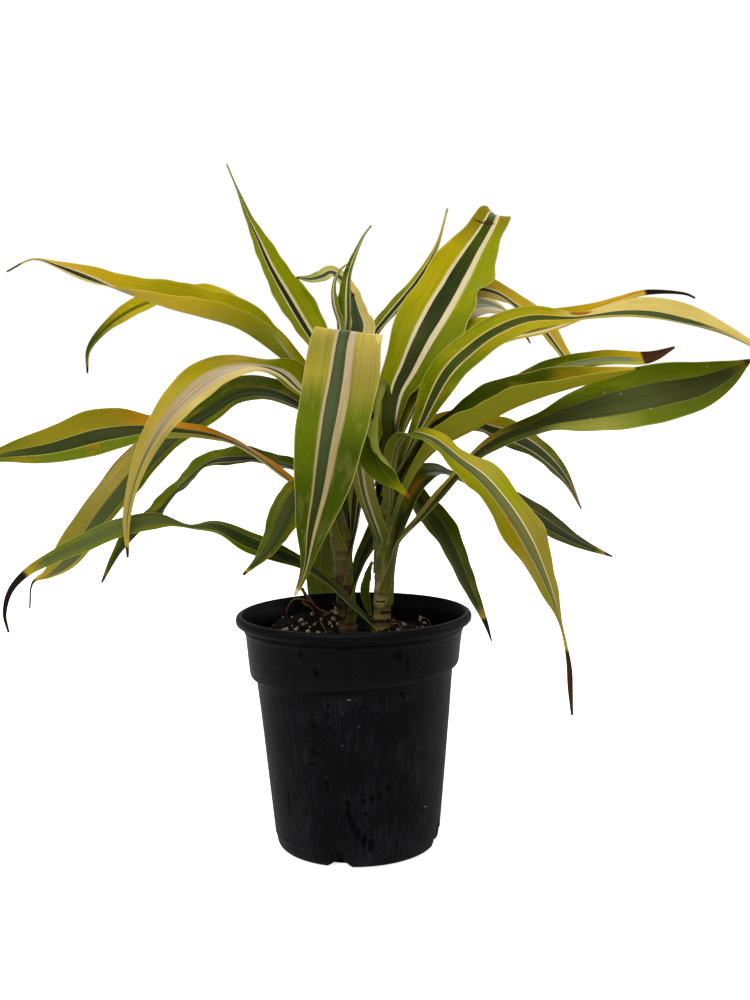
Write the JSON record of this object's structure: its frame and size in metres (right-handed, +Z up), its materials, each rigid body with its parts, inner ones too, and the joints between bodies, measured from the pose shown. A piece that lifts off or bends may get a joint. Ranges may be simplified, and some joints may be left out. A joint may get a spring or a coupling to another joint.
{
  "type": "potted dracaena plant",
  "caption": "Potted dracaena with long arching green and yellow striped leaves on short ringed canes, standing in a round black nursery pot.",
  "frame": {"origin": "centre of the pot's flat underside, on the surface that the pot stands on", "axes": "+Z up; +X to the viewer's right in the picture; +Y away from the viewer"},
  "size_m": [0.5686, 0.2876, 0.4823],
  "materials": {
    "pot": "thin injection-moulded black plastic, matte to satin, a little dusty",
    "soil": null,
    "cane": "olive-beige ringed cane with brown scars",
    "leaf": "smooth leathery leaf, green centre, cream lines, lime to golden margins, half gloss"
  },
  "bodies": {
    "root": {"pot": "pot", "soil": "soil", "stem_left": "cane", "stem_right": "cane", "leaf_left_01": "leaf", "leaf_left_02": "leaf", "leaf_left_03": "leaf", "leaf_left_04": "leaf", "leaf_left_05": "leaf", "leaf_left_06": "leaf", "leaf_left_07": "leaf", "leaf_left_08": "leaf", "leaf_left_09": "leaf", "leaf_left_10": "leaf", "leaf_left_11": "leaf", "leaf_left_12": "leaf", "leaf_left_13": "leaf", "leaf_right_01": "leaf", "leaf_right_02": "leaf", "leaf_right_03": "leaf", "leaf_right_04": "leaf", "leaf_right_05": "leaf", "leaf_right_06": "leaf", "leaf_right_07": "leaf", "leaf_right_08": "leaf", "leaf_right_09": "leaf", "leaf_right_10": "leaf", "leaf_right_11": "leaf", "leaf_right_12": "leaf", "leaf_right_13": "leaf", "leaf_right_14": "leaf", "leaf_right_15": "leaf", "leaf_right_16": "leaf", "leaf_right_17": "leaf"}
  },
  "joints": []
}
